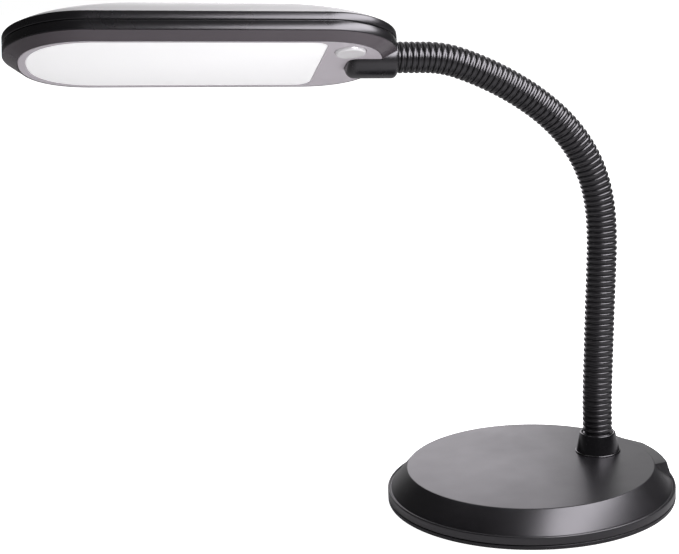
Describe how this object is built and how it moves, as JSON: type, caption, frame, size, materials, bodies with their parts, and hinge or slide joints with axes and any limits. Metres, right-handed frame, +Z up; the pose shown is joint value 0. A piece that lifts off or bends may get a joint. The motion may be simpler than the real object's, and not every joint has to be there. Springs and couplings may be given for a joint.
{
  "type": "gooseneck desk lamp",
  "caption": "Desk lamp with a weighted round base, a ribbed gooseneck that bends and stays put, and a long flat head with a white lens and a push button beside the neck.",
  "frame": {"origin": "centre of the base's underside, on the desk", "axes": "+Z up; +X from the base's centre to the neck's foot"},
  "size_m": [0.4048, 0.2009, 0.337],
  "materials": {
    "black_satin": "satin",
    "black_gloss": "gloss",
    "bezel_grey": "gloss",
    "frame_grey": "satin",
    "cover_silver": "satin",
    "lens_white": "frosted",
    "tray_white": "matte",
    "sleeve": "satin",
    "core_steel": "plain",
    "steel": "zinc plated",
    "weight": "as cast",
    "pad": "matte",
    "jack": "plain",
    "board_metal": "coated",
    "led": "phosphor",
    "circuit_board": "solder mask",
    "button_silver": "satin"
  },
  "bodies": {
    "base": {"foot_pad": "pad", "base_plate": "black_satin", "base_screws": "steel", "base_weight": "weight", "base_cover": "black_satin", "power_jack": "jack", "neck_collar": "black_satin", "neck_stud": "steel", "neck_washer": "steel", "neck_nut": "steel", "neck_core_1": "core_steel", "neck_sleeve_1": "sleeve"},
    "link_2": {"neck_core_2": "core_steel", "neck_sleeve_2": "sleeve"},
    "link_3": {"neck_core_3": "core_steel", "neck_sleeve_3": "sleeve"},
    "link_4": {"neck_core_4": "core_steel", "neck_sleeve_4": "sleeve"},
    "link_5": {"neck_core_5": "core_steel", "neck_sleeve_5": "sleeve"},
    "link_6": {"neck_core_6": "core_steel", "neck_sleeve_6": "sleeve"},
    "link_7": {"neck_core_7": "core_steel", "neck_sleeve_7": "sleeve"},
    "link_8": {"neck_core_8": "core_steel", "neck_sleeve_8": "sleeve"},
    "link_9": {"neck_core_9": "core_steel", "neck_sleeve_9": "sleeve"},
    "link_10": {"neck_core_10": "core_steel", "neck_sleeve_10": "sleeve"},
    "link_11": {"neck_core_11": "core_steel", "neck_sleeve_11": "sleeve"},
    "link_12": {"neck_core_12": "core_steel", "neck_sleeve_12": "sleeve"},
    "link_13": {"neck_core_13": "core_steel", "neck_sleeve_13": "sleeve"},
    "link_14": {"neck_core_14": "core_steel", "neck_sleeve_14": "sleeve"},
    "link_15": {"neck_core_15": "core_steel", "neck_sleeve_15": "sleeve"},
    "head": {"neck_core_16": "core_steel", "neck_sleeve_16": "sleeve", "neck_ferrule": "steel", "neck_clamp": "steel", "clamp_screws": "steel", "lower_shell": "black_gloss", "bezel": "bezel_grey", "lens_frame": "frame_grey", "diffuser": "lens_white", "light_tray": "tray_white", "led_board": "board_metal", "leds": "led", "switch_board": "circuit_board", "driver_board": "circuit_board", "upper_shell": "black_gloss", "head_screws": "steel", "top_cover": "cover_silver"},
    "button": {"push_button": "button_silver"}
  },
  "joints": [
    {"name": "lower_bend_1", "type": "hinge", "parent": "base", "child": "link_2", "pos_m": [0.052, 0, 0.0466], "axis": [-0.1736, -0.9848, 0], "range_deg": [-7, 7]},
    {"name": "lower_sway_1", "type": "hinge", "parent": "link_2", "child": "link_3", "pos_m": [0.05247, -0.00008, 0.06849], "axis": [-0.9839, 0.1735, 0.0436], "range_deg": [-7, 7]},
    {"name": "lower_bend_2", "type": "hinge", "parent": "link_3", "child": "link_4", "pos_m": [0.05341, -0.00025, 0.09037], "axis": [-0.1736, -0.9848, 0], "range_deg": [-7, 7]},
    {"name": "lower_sway_2", "type": "hinge", "parent": "link_4", "child": "link_5", "pos_m": [0.05435, -0.00042, 0.11225], "axis": [-0.9839, 0.1735, 0.0436], "range_deg": [-7, 7]},
    {"name": "lower_bend_3", "type": "hinge", "parent": "link_5", "child": "link_6", "pos_m": [0.05539, -0.0006, 0.13413], "axis": [-0.1736, -0.9848, 0], "range_deg": [-7, 7]},
    {"name": "lower_sway_3", "type": "hinge", "parent": "link_6", "child": "link_7", "pos_m": [0.05642, -0.00078, 0.156], "axis": [-0.9839, 0.1735, 0.0436], "range_deg": [-7, 7]},
    {"name": "lower_bend_4", "type": "hinge", "parent": "link_7", "child": "link_8", "pos_m": [0.05652, -0.0008, 0.17789], "axis": [-0.1736, -0.9848, 0], "range_deg": [-7, 7]},
    {"name": "upper_sway_1", "type": "hinge", "parent": "link_8", "child": "link_9", "pos_m": [0.05389, -0.00033, 0.1996], "axis": [-0.9633, 0.1699, -0.2079], "range_deg": [-7, 7]},
    {"name": "upper_bend_1", "type": "hinge", "parent": "link_9", "child": "link_10", "pos_m": [0.04697, 0.00089, 0.22029], "axis": [-0.1736, -0.9848, 0], "range_deg": [-7, 7]},
    {"name": "upper_sway_2", "type": "hinge", "parent": "link_10", "child": "link_11", "pos_m": [0.03557, 0.0029, 0.23883], "axis": [-0.7707, 0.1359, -0.6225], "range_deg": [-7, 7]},
    {"name": "upper_bend_2", "type": "hinge", "parent": "link_11", "child": "link_12", "pos_m": [0.02068, 0.00552, 0.25462], "axis": [-0.1736, -0.9848, 0], "range_deg": [-7, 7]},
    {"name": "upper_sway_3", "type": "hinge", "parent": "link_12", "child": "link_13", "pos_m": [0.00352, 0.00855, 0.26787], "axis": [-0.5436, 0.0958, -0.8339], "range_deg": [-7, 7]},
    {"name": "upper_bend_3", "type": "hinge", "parent": "link_13", "child": "link_14", "pos_m": [-0.01505, 0.01182, 0.27898], "axis": [-0.1736, -0.9848, 0], "range_deg": [-7, 7]},
    {"name": "upper_sway_4", "type": "hinge", "parent": "link_14", "child": "link_15", "pos_m": [-0.03467, 0.01528, 0.28806], "axis": [-0.3609, 0.0636, -0.9304], "range_deg": [-7, 7]},
    {"name": "upper_bend_4", "type": "hinge", "parent": "link_15", "child": "head", "pos_m": [-0.05564, 0.01898, 0.29278], "axis": [-0.1736, -0.9848, 0], "range_deg": [-7, 7]},
    {"name": "button_press", "type": "slide", "parent": "head", "child": "button", "axis": [0.1171, 0.335, 0.9349], "range_m": [0, 0.0008], "stiffness_N_per_m": 1500, "springref_m": -0.0006}
  ],
  "couplings": [
    {"joint": "lower_bend_2", "follows": "lower_bend_1", "ratio": 1},
    {"joint": "lower_sway_2", "follows": "lower_sway_1", "ratio": 1},
    {"joint": "lower_bend_3", "follows": "lower_bend_1", "ratio": 1},
    {"joint": "lower_sway_3", "follows": "lower_sway_1", "ratio": 1},
    {"joint": "lower_bend_4", "follows": "lower_bend_1", "ratio": 1},
    {"joint": "upper_sway_2", "follows": "upper_sway_1", "ratio": 1},
    {"joint": "upper_bend_2", "follows": "upper_bend_1", "ratio": 1},
    {"joint": "upper_sway_3", "follows": "upper_sway_1", "ratio": 1},
    {"joint": "upper_bend_3", "follows": "upper_bend_1", "ratio": 1},
    {"joint": "upper_sway_4", "follows": "upper_sway_1", "ratio": 1},
    {"joint": "upper_bend_4", "follows": "upper_bend_1", "ratio": 1}
  ]
}
